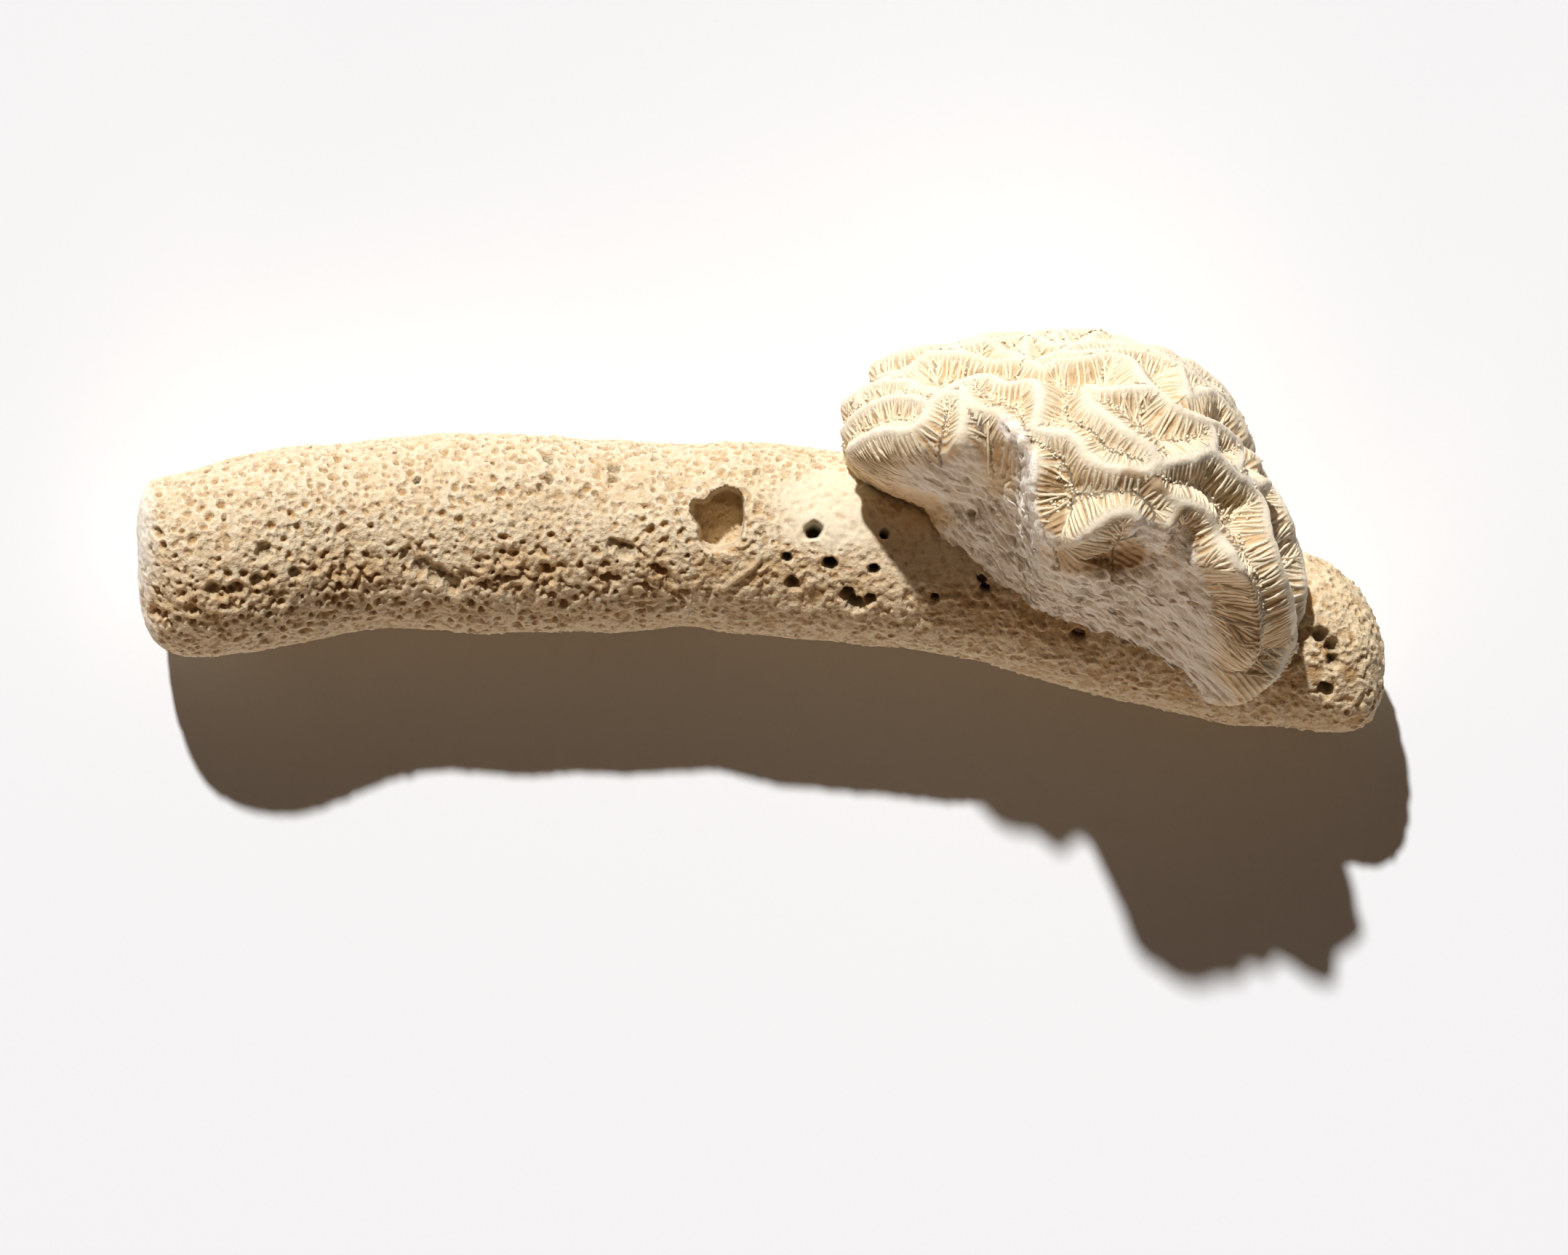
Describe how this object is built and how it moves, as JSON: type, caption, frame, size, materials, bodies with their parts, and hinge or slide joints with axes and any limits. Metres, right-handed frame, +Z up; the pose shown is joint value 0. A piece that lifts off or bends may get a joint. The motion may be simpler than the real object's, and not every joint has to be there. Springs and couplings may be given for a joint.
{
  "type": "coral skeleton",
  "caption": "Dry beach-worn coral skeleton: a long pitted branch with a ridged brain-like colony grown over one end, lying on its side as a natural ornament.",
  "frame": {"origin": "on the surface that the skeleton rests on, under the middle of its bounding box", "axes": "+X along the branch towards the end that carries the colony, +Z up, away from the surface it rests on"},
  "size_m": [0.1589, 0.0515, 0.0561],
  "materials": {
    "worn_coral": "matte",
    "ridged_coral": "matte"
  },
  "bodies": {
    "root": {"branch": "worn_coral", "colony": "ridged_coral"}
  },
  "joints": []
}
